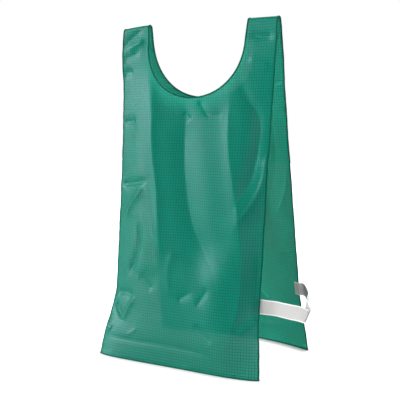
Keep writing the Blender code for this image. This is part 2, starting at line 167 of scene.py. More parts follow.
FRONT_FOLDS = (
    Fold(-0.120, 0.600, -0.080, 0.060, 0.030, 0.0040),
    Fold(-0.034, 0.520, 0.060, 0.080, 0.028, -0.0050),
    Fold(0.110, 0.540, 0.120, 0.100, 0.030, 0.0040),
    Fold(0.085, 0.240, 0.092, -0.030, 0.050, 0.0065),
)
BACK_FOLDS = (
    Fold(-0.118, 0.580, -0.090, 0.080, 0.028, 0.0050),
    Fold(-0.042, 0.530, -0.020, 0.080, 0.028, -0.0060),
    Fold(0.040, 0.500, 0.060, 0.100, 0.030, 0.0050),
    Fold(0.108, 0.540, 0.118, 0.120, 0.022, -0.0045),
)
FRONT_CREASES = (
    # The long ridge at the left, then the long trough and ridge of the middle
    Crease(((-0.106, 0.560), (-0.084, 0.472), (-0.077, 0.400), (-0.060, 0.320), (-0.049, 0.240),
            (-0.037, 0.155)), 0.0200, 0.0066),
    Crease(((-0.012, 0.500), (-0.009, 0.358), (0.026, 0.240), (0.057, 0.199), (0.090, 0.150)),
           0.0160, -0.0042),
    Crease(((0.080, 0.520), (0.088, 0.398), (0.112, 0.300), (0.131, 0.200), (0.130, 0.120),
            (0.113, 0.055), (0.112, 0.006)), 0.0160, 0.0046),
    # The trough from the right strap down to the belly, with the ridge beyond it
    Crease(((0.097, 0.538), (0.116, 0.490), (0.139, 0.460), (0.142, 0.400), (0.131, 0.340),
            (0.103, 0.286)), 0.0100, -0.0052),
    Crease(((0.164, 0.400), (0.159, 0.336), (0.144, 0.304), (0.112, 0.262)), 0.0080, 0.0052),
    Crease(((0.157, 0.220), (0.162, 0.143), (0.160, 0.100)), 0.0070, -0.0035),
    Crease(((0.168, 0.105), (0.150, 0.090), (0.130, 0.072)), 0.0060, 0.0032),
    # Short ones that start at the neck
    Crease(((-0.017, 0.466), (0.002, 0.450)), 0.0040, -0.0017),
    Crease(((0.015, 0.488), (0.039, 0.455)), 0.0045, -0.0023),
    Crease(((0.032, 0.460), (0.070, 0.460)), 0.0040, -0.0014),
    # Ones that run in from the left edge
    Crease(((-0.164, 0.543), (-0.138, 0.544)), 0.0040, -0.0036),
    Crease(((-0.164, 0.447), (-0.124, 0.449)), 0.0040, -0.0028),
    Crease(((-0.164, 0.326), (-0.120, 0.330), (-0.083, 0.338)), 0.0045, -0.0045),
    Crease(((-0.092, 0.324), (-0.122, 0.292), (-0.141, 0.265)), 0.0055, 0.0049),
    Crease(((-0.105, 0.258), (-0.096, 0.224), (-0.108, 0.181), (-0.126, 0.152)), 0.0060, -0.0045),
    Crease(((-0.159, 0.117), (-0.127, 0.121), (-0.100, 0.118)), 0.0045, -0.0041),
    Crease(((-0.162, 0.098), (-0.143, 0.084), (-0.124, 0.070)), 0.0045, -0.0057),
    Crease(((-0.124, 0.070), (-0.113, 0.095), (-0.097, 0.117)), 0.0040, 0.0036),
    Crease(((-0.108, 0.042), (-0.084, 0.060)), 0.0035, 0.0014),
    Crease(((-0.168, 0.058), (-0.150, 0.048)), 0.0045, 0.0036),
    # Low down in the middle
    Crease(((-0.016, 0.215), (-0.024, 0.165), (-0.014, 0.120)), 0.0100, 0.0016),
    Crease(((-0.090, 0.160), (-0.054, 0.132)), 0.0060, -0.0026),
    Crease(((-0.002, 0.120), (0.030, 0.140)), 0.0065, -0.0022),
    Crease(((0.040, 0.113), (0.054, 0.133), (0.066, 0.152)), 0.0060, -0.0020),
    Crease(((0.040, 0.084), (0.082, 0.052)), 0.0050, -0.0020),
    # The pressed line above the hem
    Crease(((-0.168, 0.037), (-0.108, 0.036), (-0.030, 0.037), (0.056, 0.034), (0.094, 0.030)),
           0.0035, -0.0017),
    # Across the shoulder straps
    Crease(((0.107, 0.605), (0.138, 0.598), (0.163, 0.600)), 0.0040, -0.0032),
    Crease(((0.112, 0.560), (0.158, 0.545)), 0.0060, 0.0020),
    Crease(((-0.121, 0.629), (-0.166, 0.596)), 0.0050, -0.0029),
    Crease(((-0.114, 0.605), (-0.156, 0.587)), 0.0045, 0.0026),
    Crease(((-0.166, 0.568), (-0.124, 0.582)), 0.0045, -0.0023),
)
BACK_CREASES = (
    Crease(((-0.116, 0.556), (-0.104, 0.430), (-0.090, 0.330), (-0.086, 0.200)), 0.0180, 0.0056),
    Crease(((-0.040, 0.505), (-0.036, 0.350), (-0.012, 0.220), (0.012, 0.140)), 0.0160, -0.0042),
    Crease(((0.030, 0.500), (0.044, 0.360), (0.050, 0.220), (0.044, 0.120)), 0.0150, 0.0042),
    Crease(((0.100, 0.536), (0.128, 0.480), (0.138, 0.400), (0.120, 0.310)), 0.0110, -0.0030),
    Crease(((0.160, 0.390), (0.148, 0.318), (0.118, 0.262)), 0.0080, 0.0026),
    Crease(((-0.166, 0.424), (-0.118, 0.400)), 0.0045, -0.0026),
    Crease(((-0.166, 0.300), (-0.112, 0.318)), 0.0045, -0.0029),
    Crease(((-0.100, 0.310), (-0.134, 0.262)), 0.0055, 0.0029),
    Crease(((-0.166, 0.176), (-0.104, 0.164)), 0.0045, -0.0026),
    Crease(((0.166, 0.204), (0.122, 0.190)), 0.0045, -0.0023),
    Crease(((0.168, 0.520), (0.140, 0.512)), 0.0070, -0.0010),
    Crease(((-0.030, 0.484), (-0.052, 0.452)), 0.0040, -0.0020),
    Crease(((0.036, 0.486), (0.060, 0.450)), 0.0040, 0.0020),
    Crease(((-0.070, 0.130), (-0.024, 0.104)), 0.0060, 0.0029),
    Crease(((0.050, 0.124), (0.096, 0.088)), 0.0060, -0.0029),
    Crease(((-0.168, 0.038), (-0.060, 0.036), (0.060, 0.037), (0.150, 0.036)), 0.0035, -0.0014),
    Crease(((-0.160, 0.106), (-0.122, 0.066)), 0.0050, -0.0032),
    Crease(((0.112, 0.606), (0.160, 0.594)), 0.0045, 0.0023),
    Crease(((-0.112, 0.600), (-0.158, 0.606)), 0.0045, -0.0026),
)

# Ripple: a wave that sewing draws into the cloth along an edge. share is its height as a
# part of the pucker setting and step its length over 2 pi. It quickens and slows by sway
# over sway_step, slant turns its crests, and it dies away over reach from the edge.
Ripple = namedtuple("Ripple", "share step sway sway_step slant reach")
SIDE_RIPPLES = (
    Ripple(1.0, 0.0043, 2.1, 0.031, 9.0, 0.007),
    Ripple(1.6, 0.0121, 1.3, 0.047, 0.0, 0.016),
)
HEM_RIPPLE = Ripple(1.0, 0.0047, 1.7, 0.023, 0.0, 0.006)
HEM_RIPPLE_FADE = 0.004
SIDE_RIPPLE_FADE = 0.020

# Panel: side is -1 in front and +1 behind, and the middle of its hem stands at hem_y.
# bulge and twist are how far the hem bows out in its middle and swings across it.
# edge_in and edge_back are how far the side edges are drawn at the elastic, whose
# middle is sewn on at the height elastic_z.
Panel = namedtuple(
    "Panel",
    "name side hem_y bulge twist corner_curl edge_in edge_back elastic_z "
    "neck_half_width neck_power folds creases",
)
FRONT = Panel(
    name="front", side=-1, hem_y=-0.1295, bulge=0.0, twist=-0.0035, corner_curl=0.0105,
    edge_in=0.014, edge_back=0.025, elastic_z=0.1225, neck_half_width=0.1035,
    neck_power=2.1, folds=FRONT_FOLDS, creases=FRONT_CREASES,
)
BACK = Panel(
    name="back", side=1, hem_y=0.0985, bulge=0.0330, twist=0.0, corner_curl=0.0,
    edge_in=0.006, edge_back=0.004, elastic_z=0.1280, neck_half_width=0.1085,
    neck_power=2.35, folds=BACK_FOLDS, creases=BACK_CREASES,
)

# Pull: the share of edge_in and edge_back that the edge takes at each height
Pull = namedtuple("Pull", "z share")
EDGE_PULL = (
    Pull(0.000, 0.00),
    Pull(0.050, 0.40),
    Pull(0.080, 0.78),
    Pull(0.110, 1.00),
    Pull(0.200, 0.96),
    Pull(0.300, 0.82),
    Pull(0.400, 0.65),
    Pull(0.500, 0.40),
    Pull(0.600, 0.00),
    Pull(0.640, 0.00),
)

# RoutePoint: where the free elastic passes, and how its upper edge leans per unit up
RoutePoint = namedtuple("RoutePoint", "x y z lean_x lean_y")
RIGHT_ROUTE = (
    RoutePoint(0.1680, -0.0790, 0.1215, 0.00, 0.10),
    RoutePoint(0.1810, -0.0775, 0.1213, 0.00, 0.10),
    RoutePoint(0.1997, -0.0800, 0.1205, 0.00, 0.15),
    RoutePoint(0.2180, -0.0850, 0.1205, 0.05, 0.30),
    RoutePoint(0.2330, -0.0900, 0.1210, 0.08, 0.50),
    RoutePoint(0.2448, -0.0960, 0.1205, 0.15, 0.86),
    RoutePoint(0.2500, -0.0985, 0.1206, 0.16, 0.87),
    RoutePoint(0.2520, -0.0960, 0.1216, 0.16, 0.87),
    RoutePoint(0.2478, -0.0890, 0.1232, 0.16, 0.85),
    RoutePoint(0.2370, -0.0720, 0.1262, 0.15, 0.70),
    RoutePoint(0.2285, -0.0510, 0.1280, 0.06, 0.25),
    RoutePoint(0.2200, -0.0200, 0.1286, 0.00, -0.05),
    RoutePoint(0.2055, 0.0100, 0.1284, 0.00, -0.10),
    RoutePoint(0.1905, 0.0380, 0.1284, 0.00, -0.15),
    RoutePoint(0.1798, 0.0560, 0.1284, 0.00, -0.20),
    RoutePoint(0.1725, 0.0640, 0.1282, 0.00, -0.20),
)
LEFT_ROUTE = (
    RoutePoint(-0.1660, -0.0700, 0.1225, 0.00, 0.10),
    RoutePoint(-0.1850, -0.0330, 0.1218, 0.00, 0.05),
    RoutePoint(-0.2150, 0.0200, 0.1208, -0.05, 0.00),
    RoutePoint(-0.2425, 0.0620, 0.1205, -0.10, 0.00),
    RoutePoint(-0.2526, 0.0830, 0.1205, -0.20, 0.00),
    RoutePoint(-0.2492, 0.0885, 0.1210, -0.20, 0.10),
    RoutePoint(-0.2260, 0.0840, 0.1230, -0.05, 0.00),
    RoutePoint(-0.2000, 0.0765, 0.1255, 0.00, -0.10),
    RoutePoint(-0.1780, 0.0710, 0.1278, 0.00, -0.20),
)

# ProfilePoint: a corner of the folded tape's section. inward runs from its fold towards
# its cut edges, out is across its thickness. Both are shares: of its width, of its half
# thickness.
ProfilePoint = namedtuple("ProfilePoint", "inward out")
TAPE_FACE = (
    ProfilePoint(1.000, 0.88),
    ProfilePoint(0.930, 1.00),
    ProfilePoint(0.620, 0.94),
    ProfilePoint(0.380, 1.00),
    ProfilePoint(0.150, 0.96),
    ProfilePoint(0.040, 0.70),
    ProfilePoint(0.000, 0.36),
)
TAPE_LINING = (
    ProfilePoint(0.160, 0.00),
    ProfilePoint(0.200, 0.34),
    ProfilePoint(0.330, 0.46),
    ProfilePoint(1.000, 0.44),
)


def linear_colour(hex_code):
    """Turn an sRGB hex value into the linear colour that shaders use."""
    channels = [int(hex_code[place:place + 2], 16) / 255 for place in (0, 2, 4)]
    return [c / 12.92 if c <= 0.04045 else ((c + 0.055) / 1.055) ** 2.4 for c in channels]


def tone(colour, share=1.0):
    """A colour made lighter or darker by a share, with the full alpha that sockets need."""
    return (*(min(1.0, c * share) for c in colour), 1.0)


def length_setting(name, description, default):
    """A size in metres that a user would change."""
    return FloatProperty(
        name=name, description=description, default=default, min=0.0, precision=5,
        subtype="DISTANCE", unit="LENGTH",
    )


def strength_setting(name, description, default):
    """The strength of a light."""
    return FloatProperty(name=name, description=description, default=default, min=0.0)


def angle_setting(name, description, degrees):
    """An angle that a user would change."""
    return FloatProperty(
        name=name, description=description, default=math.radians(degrees), subtype="ANGLE",
    )


def colour_setting(name, description, hex_code):
    """A colour that a user would change."""
    return FloatVectorProperty(
        name=name, description=description, default=linear_colour(hex_code), min=0.0, max=1.0,
        subtype="COLOR", size=3,
    )


class BibClothSettings(bpy.types.PropertyGroup):
    """Sizes and colours of the net."""

    wall: length_setting("Net wall", "Thickness of the net", 0.00028)
    tuck: length_setting("Tuck", "How far the net stops short of its cut edge, in the tape", 0.0009)
    crease_share: FloatProperty(
        name="Creases", description="How deep the creases are, as a share", default=1.0,
        min=0.0, max=2.0, subtype="FACTOR",
    )
    pucker: length_setting("Pucker", "How far the sewn edges ripple", 0.00035)
    hole_pitch: length_setting("Hole pitch", "Distance between the net's rows of holes", 0.00125)
    hole_radius: length_setting("Hole radius", "Radius of a hole in the net", 0.00030)
    check_across: length_setting("Check across", "Distance between upright check threads", 0.0050)
    check_down: length_setting("Check down", "Distance between level check threads", 0.0050)
    net_colour: colour_setting("Net", "Colour of the net's yarn", "008872")
    check_colour: colour_setting("Check", "Colour of the doubled check threads", "003C2C")
    sheen_colour: colour_setting("Sheen", "Colour of the yarn's satin sheen", "C8DEFF")


class BibSewingSettings(bpy.types.PropertyGroup):
    """Sizes and colours of the tape and the thread."""

    tape_width: length_setting("Tape width", "Width of the folded tape", 0.0026)
    tape_half_depth: length_setting("Tape half depth", "Half the folded tape's depth", 0.00080)
    stitch_pitch: length_setting("Stitch pitch", "Length of one stitch with its gap", 0.0028)
    stitch_length: length_setting("Stitch length", "Length of thread that shows", 0.0023)
    thread_radius: length_setting("Thread radius", "Radius of the sewing thread", 0.00020)
    tape_colour: colour_setting("Tape", "Colour of the tape", "007058")
    thread_colour: colour_setting("Thread", "Colour of the green thread", "006850")
    white_thread_colour: colour_setting("White thread", "Colour at the elastic", "EDEBE8")


class BibElasticSettings(bpy.types.PropertyGroup):
    """Sizes and colours of the elastic."""

    width: length_setting("Width", "Width of the elastic", 0.0260)
    half_depth: length_setting("Half depth", "Half the elastic's thickness between ribs", 0.00042)
    rib_rise: length_setting("Rib rise", "How far a rib stands out", 0.00011)
    ribs: IntProperty(name="Ribs", description="Ribs across the elastic", default=14, min=2)
    band_colour: colour_setting("Band", "Colour of the woven face", "C6C5C4")
    selvedge_colour: colour_setting("Selvedge", "Colour of the bound edges", "F8F6F4")


class BibStageSettings(bpy.types.PropertyGroup):
    """The camera, the floor and the lights."""

    camera_place: FloatVectorProperty(
        name="Camera", description="Where the camera stands", subtype="TRANSLATION",
        unit="LENGTH", default=(0.77234, -1.32848, 0.45493),
    )
    camera_dip: angle_setting("Camera dip", "How far the camera looks down", 4.2)
    camera_turn: angle_setting("Camera turn", "How far round the bib the camera stands", 30.87)
    lens: FloatProperty(
        name="Lens", description="Focal length in millimetres", default=71.74, min=1.0,
    )
    shift_across: FloatProperty(name="Shift across", description="Lens shift", default=0.00428)
    shift_up: FloatProperty(name="Shift up", description="Lens shift", default=-0.0591)
    floor_width: length_setting("Floor", "Width of the floor", 12.0)
    sky: strength_setting("Sky", "Strength of the even studio light", 0.25)
    key: strength_setting("Key", "Strength of the soft light from the left", 3.0)
    key_turn: angle_setting("Key turn", "How far left of the front the key light stands", 56)
    fill: strength_setting("Fill", "Strength of the weak light from the right", 0.95)
    fill_turn: angle_setting("Fill turn", "How far right of the front the fill stands", 40)
    back: strength_setting("Back light", "Strength of the light from behind, through the net", 3.7)
    lamp_lift: angle_setting("Lamp lift", "Height of the three lamps above level", 18)
    lamp_spread: angle_setting("Lamp spread", "How wide each lamp looks", 26)


def smooth_table(rows, at):
    """Read a table of (place, value) rows at the given places, along a smooth curve."""
    places = np.array([row[0] for row in rows])
    values = np.array([row[1] for row in rows])
    slopes = np.gradient(values, places)
    at = np.clip(at, places[0], places[-1])
    index = np.clip(np.searchsorted(places, at) - 1, 0, len(places) - 2)
    span = places[index + 1] - places[index]
    t = (at - places[index]) / span
    start = (1 + 2 * t) * (1 - t) ** 2 * values[index] + t * (1 - t) ** 2 * span * slopes[index]
    end = t * t * (3 - 2 * t) * values[index + 1] + t * t * (t - 1) * span * slopes[index + 1]
    return start + end


def ease(share):
    """Rise from 0 to 1 with level ends, as share goes from 0 to 1."""
    share = np.clip(share, 0.0, 1.0)
    return share * share * (3 - 2 * share)


def unit(vectors):
    """Scale vectors to length 1."""
    return vectors / np.linalg.norm(vectors, axis=-1, keepdims=True)


def panel_lean(panel):
    """Angle between a panel and the upright."""
    reach = abs(panel.hem_y - SHOULDER_Y) - SHOULDER_FOLD_RADIUS
    return math.atan(reach / (MIDDLE_TOP_Z - SHOULDER_FOLD_RADIUS))


def fold_length(panel):
    """Length of cloth from the shoulder seam to where the plain panel begins."""
    return SHOULDER_FOLD_RADIUS * (math.pi / 2 - panel_lean(panel))


def down_at(panel, z):
    """Way down the cloth from the shoulder seam to a height on the plain panel."""
    turn = math.pi / 2 - panel_lean(panel)
    fold_drop = SHOULDER_FOLD_RADIUS * (1 - math.cos(turn))
    return fold_length(panel) + (MIDDLE_TOP_Z - fold_drop - z) / math.cos(panel_lean(panel))


def half_width_at(z):
    """Half the width of the flat cut at a height."""
    return HEM_HALF_WIDTH + (TOP_HALF_WIDTH - HEM_HALF_WIDTH) * z / HEIGHT


def edge_half_width(panel, down):
    """Half the flat cut's width, this far down the cloth."""
    share = np.clip(np.asarray(down) / down_at(panel, 0.0), 0.0, 1.0)
    return TOP_HALF_WIDTH + (HEM_HALF_WIDTH - TOP_HALF_WIDTH) * share


def fold_rise(folds, x, z):
    """Add up how far the folds lift the cloth."""
    total = np.zeros_like(x)
    for fold in folds:
        share = (fold.z_top - z) / (fold.z_top - fold.z_foot)
        middle = fold.x_top + (fold.x_foot - fold.x_top) * share
        length = ease(share / FOLD_TOP_FADE) * ease((1 - share) / FOLD_FOOT_FADE)
        total = total + fold.rise * length * np.exp(-(((x - middle) / fold.reach) ** 2))
    return total


def crease_line(path):
    """A smooth line of places through a crease's path, with the way travelled to each."""
    path = np.asarray(path)
    travelled = way_travelled(path)
    if len(path) == 2:
        return path, travelled
    fine = np.linspace(0.0, travelled[-1], CREASE_STEPS * len(path))
    line = np.stack([smooth_table(list(zip(travelled, column)), fine) for column in path.T], -1)
    return line, fine


def crease_rise(creases, x, z):
    """Add up how far the creases lift the cloth, each with a rounded peak and soft ends."""
    total = np.zeros_like(x)
    place = np.stack([x, z], axis=-1)
    for crease in creases:
        line, travelled = crease_line(crease.path)
        nearest = np.full(x.shape, np.inf)
        way = np.zeros_like(x)
        for start, end, start_way in zip(line[:-1], line[1:], travelled[:-1]):
            chord = end - start
            length = np.linalg.norm(chord)
            along = np.clip((place - start) @ chord / length**2, 0.0, 1.0)
            gap = np.linalg.norm(place - start - along[..., None] * chord, axis=-1)
            closer = gap < nearest
            nearest = np.where(closer, gap, nearest)
            way = np.where(closer, start_way + along * length, way)
        share = way / travelled[-1]
        ends = (1 - CREASE_END_RISE) * ease(share / CREASE_START_FADE)
        ends = CREASE_END_RISE + ends * ease((1 - share) / CREASE_STOP_FADE)
        flank = np.sqrt(nearest**2 + CREASE_ROUND**2) - CREASE_ROUND
        peak = np.exp(-flank / crease.width)
        total = total + crease.rise * ends * peak
    return total


def ripple_rise(ripple, along, across, from_edge):
    """How far one ripple lifts the cloth, as a share of the pucker setting."""
    phase = along / ripple.step + ripple.sway * np.sin(along / ripple.sway_step)
    phase = phase + across * ripple.slant
    return ripple.share * np.sin(phase) * np.exp(-from_edge / ripple.reach)


def pucker_rise(panel, x, down, z):
    """Small ripples that the sewing draws into the cloth along its edges."""
    from_edge = edge_half_width(panel, down) - np.abs(x)
    side = sum(ripple_rise(ripple, down, x, from_edge) for ripple in SIDE_RIPPLES)
    hem = ripple_rise(HEM_RIPPLE, x, 0.0, z) * ease(z / HEM_RIPPLE_FADE)
    return side * ease(z / SIDE_RIPPLE_FADE) * ease(down / SIDE_RIPPLE_FADE) + hem


def relief(panel, x, down, z):
    """How far creases and sewing lift the cloth. It dies away over the shoulder fold."""
    cloth = bpy.context.scene.bib_cloth
    lift = crease_rise(panel.creases, x, z) * cloth.crease_share
    lift = lift + pucker_rise(panel, x, down, z) * cloth.pucker
    return lift * ease((down - SEAM_CLEAR) / SEAM_FADE)


def panel_points(panel, x, down):
    """Points of a panel's middle surface for places in its flat cut."""
    x = np.asarray(x, dtype=float)
    down = np.asarray(down, dtype=float)
    lean = panel_lean(panel)
    turn = math.pi / 2 - lean
    angle = np.clip(down / SHOULDER_FOLD_RADIUS, 0.0, turn)
    run = np.maximum(down - fold_length(panel), 0.0)
    out = SHOULDER_FOLD_RADIUS * np.sin(angle) + run * math.sin(lean)
    z = MIDDLE_TOP_Z - SHOULDER_FOLD_RADIUS * (1 - np.cos(angle)) - run * math.cos(lean)

    across = x / half_width_at(z)
    pull = smooth_table(EDGE_PULL, z)
    low = 1 - np.clip(z / HEIGHT, 0.0, 1.0)
    out = out - panel.edge_back * pull * np.abs(across) ** EDGE_POWER
    out = out + panel.bulge * (1 - across**2) * low**BULGE_POWER
    out = out + panel.twist * across * low * panel.side * -1
    corner = ease(low * CORNER_PARTS - (CORNER_PARTS - 1))
    out = out - panel.corner_curl * np.abs(across) ** CORNER_POWER * corner
    out = out + fold_rise(panel.folds, x, z) + relief(panel, x, down, z)

    outer = np.clip((-x - NECK_TOP_HALF_WIDTH) / SHOULDER_WIDTH, 0.0, 1.0)
    near_seam = np.exp(-((low * HEIGHT / DROOP_DEPTH) ** 2))
    z = z - LEFT_SHOULDER_DROOP * outer**DROOP_POWER * near_seam
    side_x = x - panel.edge_in * pull * across**EDGE_POWER
    return np.stack([side_x, SHOULDER_Y + panel.side * out, z], axis=-1)


def panel_normals(panel, x, down):
    """Directions straight out of the cloth, turned level at the hem."""
    x = np.asarray(x, dtype=float)
    down = np.maximum(np.asarray(down, dtype=float), 2 * PROBE)
    across = panel_points(panel, x + PROBE, down) - panel_points(panel, x - PROBE, down)
    along = panel_points(panel, x, down + PROBE) - panel_points(panel, x, down - PROBE)
    normals = unit(np.cross(along, across)) * -panel.side
    above_hem = panel_points(panel, x, down)[..., 2] - HEM_LEVEL_START
    normals[..., 2] *= ease(above_hem / HEM_LEVEL_HEIGHT)
    return unit(normals)


def neck_curve(panel):
    """Stations round the neck hole's edge in the flat cut, from the left seam to the right.

    Each row is x, down, and the direction away from the hole.
    """
    straight_top = np.linspace(0.0, fold_length(panel), FOLD_STEPS + 1)[:-1]
    straight = np.linspace(fold_length(panel), NECK_STRAIGHT, NECK_SIDE_STEPS + 1)[:-1]
    side_down = np.concatenate([straight_top, straight])
    taper = side_down / NECK_STRAIGHT
    side_x = NECK_TOP_HALF_WIDTH + (panel.neck_half_width - NECK_TOP_HALF_WIDTH) * taper

    corner = np.linspace(0.0, CORNER_ANGLE, NECK_CORNER_STEPS + 1)[:-1]
    bottom = np.linspace(CORNER_ANGLE, math.pi / 2, COLUMNS // 2 + 1)
    angles = np.concatenate([corner, bottom])
    power = 2 / panel.neck_power
    round_x = panel.neck_half_width * np.cos(angles) ** power
    round_x[-1] = 0.0
    round_down = NECK_STRAIGHT + (NECK_DEPTH - NECK_STRAIGHT) * np.sin(angles) ** power

    x = np.concatenate([side_x, round_x])
    down = np.concatenate([side_down, round_down])
    x = np.concatenate([-x, x[-2::-1]])
    down = np.concatenate([down, down[-2::-1]])
    way = unit(np.stack([np.gradient(x), np.gradient(down)], axis=-1))
    return x, down, np.stack([-way[:, 1], way[:, 0]], axis=-1)


def neck_offset(panel, distance):
    """The neck hole's edge in the flat cut, moved away from the hole."""
    x, down, away = neck_curve(panel)
    return x + away[:, 0] * distance, np.maximum(down + away[:, 1] * distance, 0.0)


def outer_curve(panel, inset):
    """Stations down the left edge, across the yoke line and up the right edge."""
    top = np.linspace(0.0, fold_length(panel), FOLD_STEPS + 1)
    side_steps = NECK_SIDE_STEPS + NECK_CORNER_STEPS
    side = np.linspace(fold_length(panel), YOKE_DOWN, side_steps + 1)[1:]
    edge_down = np.concatenate([top, side])
    edge_x = edge_half_width(panel, edge_down) - inset
    yoke_x = np.linspace(-edge_x[-1], edge_x[-1], COLUMNS + 1)[1:-1]
    x = np.concatenate([-edge_x, yoke_x, edge_x[::-1]])
    down = np.concatenate([edge_down, np.full(COLUMNS - 1, YOKE_DOWN), edge_down[::-1]])
    return x, down


def side_stations(panel, foot):
    """How far down the cloth the stations of a side edge lie, from the seam to its foot."""
    side_count = FOLD_STEPS + NECK_SIDE_STEPS + NECK_CORNER_STEPS + 1
    top = outer_curve(panel, 0.0)[1][:side_count]
    return np.concatenate([top, body_rows(panel, foot)[1:]])


def body_rows(panel, foot):
    """How far down the cloth each row of the panel's body lies, below the yoke line."""
    return np.linspace(YOKE_DOWN, down_at(panel, foot), BODY_ROWS + 1)


def panel_sheet(panel, inset):
    """Flat cut of a panel: x, down and the faces between them."""
    neck_x, neck_down = neck_offset(panel, inset)
    outer_x, outer_down = outer_curve(panel, inset)
    ring_size = len(neck_x)
    share = np.linspace(0.0, 1.0, BAND_RINGS + 1)[:, None]
    band_x = neck_x + (outer_x - neck_x) * share
    band_down = neck_down + (outer_down - neck_down) * share

    band = np.arange((BAND_RINGS + 1) * ring_size).reshape(BAND_RINGS + 1, ring_size)
    yoke_start = BAND_RINGS * ring_size + (ring_size - 1 - COLUMNS) // 2
    first_row = yoke_start + np.arange(COLUMNS + 1)
    rows = body_rows(panel, inset)[1:]
    spread = np.linspace(-1.0, 1.0, COLUMNS + 1)
    body_x = spread * (edge_half_width(panel, rows)[:, None] - inset)
    body_down = np.repeat(rows[:, None], COLUMNS + 1, axis=1)
    below = band.size + np.arange(BODY_ROWS * (COLUMNS + 1)).reshape(BODY_ROWS, COLUMNS + 1)
    faces = np.vstack([grid_faces(band), grid_faces(np.vstack([first_row, below]))])

    x = np.concatenate([band_x.ravel(), body_x.ravel()])
    down = np.concatenate([band_down.ravel(), body_down.ravel()])
    return x, down, faces


def grid_faces(grid):
    """Four-cornered faces between the rows of a grid of point numbers."""
    corners = (grid[:-1, :-1], grid[:-1, 1:], grid[1:, 1:], grid[1:, :-1])
    return np.stack([corner.ravel() for corner in corners], axis=1)


def boundary_edges(faces):
    """Edges of the faces that belong to one face only, in the faces' own direction."""
    starts = faces.ravel()
    ends = np.roll(faces, -1, axis=1).ravel()
    count = faces.max() + 1
    forward = starts * count + ends
    backward = ends * count + starts
    alone = ~np.isin(forward, backward)
    return np.stack([starts[alone], ends[alone]], axis=1)


def mesh_volume(points, faces):
    """Signed volume inside four-cornered faces. It is above 0 when they point out."""
    a, b, c, d = (points[faces[:, corner]] for corner in range(4))
    first = np.sum(a * np.cross(b, c), axis=1)
    second = np.sum(a * np.cross(c, d), axis=1)
    return np.sum(first + second) / 6


def add_object(name, data):
    """Put a mesh, a lamp or a camera into the scene."""
    placed = bpy.data.objects.new(name, data)
    bpy.context.collection.objects.link(placed)
    return placed


def add_piece(name, points, faces, uv, uv_name, material, caps=()):
    """Make a closed piece. uv has each point's place on the cloth, and caps close its ends."""
    if mesh_volume(points, faces) < 0:
        faces = faces[:, ::-1]
        caps = [tuple(reversed(cap)) for cap in caps]
    mesh = bpy.data.meshes.new(name)
    mesh.from_pydata(points.tolist(), [], faces.tolist() + [list(cap) for cap in caps])
    mesh.validate()
    layer = mesh.uv_layers.new(name=uv_name)
    corner_points = np.empty(len(mesh.loops), dtype=np.int32)
    mesh.loops.foreach_get("vertex_index", corner_points)
    layer.data.foreach_set("uv", uv[corner_points].astype(np.float32).ravel())
    mesh.shade_smooth()
    mesh.set_sharp_from_angle(angle=SHARP_ANGLE)
    mesh.materials.append(material)
    return add_object(name, mesh)


def add_net(panel, material):
    """One panel of net as a thin closed shell."""
    cloth = bpy.context.scene.bib_cloth
    x, down, faces = panel_sheet(panel, cloth.tuck)
    points = panel_points(panel, x, down)
    out = panel_normals(panel, x, down) * cloth.wall / 2
    count = len(points)
    rim = boundary_edges(faces)
    rim_faces = np.stack([rim[:, 1], rim[:, 0], rim[:, 0] + count, rim[:, 1] + count], axis=1)
    shell = np.vstack([faces, faces[:, ::-1] + count, rim_faces])
    uv = np.stack([x, -down], axis=1)
    return add_piece(
        panel.name + "_net", np.vstack([points + out, points - out]), shell,
        np.vstack([uv, uv]), "Cut", material,
    )


def tape_profile():
    """The folded tape's section as (inward, out) places in metres, all round it."""
    sewing = bpy.context.scene.bib_sewing
    face = [(p.inward, p.out) for p in TAPE_FACE]
    lining = [(p.inward, p.out) for p in TAPE_LINING]
    around = face + [(a, -b) for a, b in reversed(face)]
    around += [(a, -b) for a, b in reversed(lining)] + lining[1:]
    return np.array(around) * (sewing.tape_width, sewing.tape_half_depth)


def tape_frame(panel, edge_x, edge_down, inner_x, inner_down):
    """Points along a tape's fold, the way inward over the cloth, and the way out of it."""
    edge = panel_points(panel, edge_x, edge_down)
    inner = panel_points(panel, inner_x, inner_down)
    out = panel_normals(panel, (edge_x + inner_x) / 2, (edge_down + inner_down) / 2)
    return np.stack([edge, unit(inner - edge), out], axis=1)


def neck_tape_frame():
    """The tape round the neck hole, over both shoulders."""
    width = bpy.context.scene.bib_sewing.tape_width
    rings = []
    for panel in (FRONT, BACK):
        edge_x, edge_down, _ = neck_curve(panel)
        ring = tape_frame(panel, edge_x, edge_down, *neck_offset(panel, width))
        rings.append(ring if panel is FRONT else ring[-2:0:-1])
    return np.concatenate(rings)


def side_tape_frame(sign):
    """The tape along one side: up the front edge, over the shoulder and down the back."""
    width = bpy.context.scene.bib_sewing.tape_width
    runs = []
    for panel in (FRONT, BACK):
        down = side_stations(panel, width + TAPE_GAP)
        edge_x = edge_half_width(panel, down) * sign
        runs.append(tape_frame(panel, edge_x, down, edge_x - width * sign, down))
    front, back = runs
    return np.concatenate([front[::-1], back[1:]])


def hem_tape_frame(panel):
    """The tape along a hem, whose fold stands on the floor."""
    width = bpy.context.scene.bib_sewing.tape_width
    x = np.linspace(-1.0, 1.0, COLUMNS + 1) * HEM_HALF_WIDTH
    foot = np.full_like(x, down_at(panel, 0.0))
    return tape_frame(panel, x, foot, x, np.full_like(x, down_at(panel, width)))


def way_travelled(points):
    """Length of a line of points from its start to each of them."""
    steps = np.linalg.norm(np.diff(points, axis=0), axis=1)
    return np.concatenate([[0.0], np.cumsum(steps)])


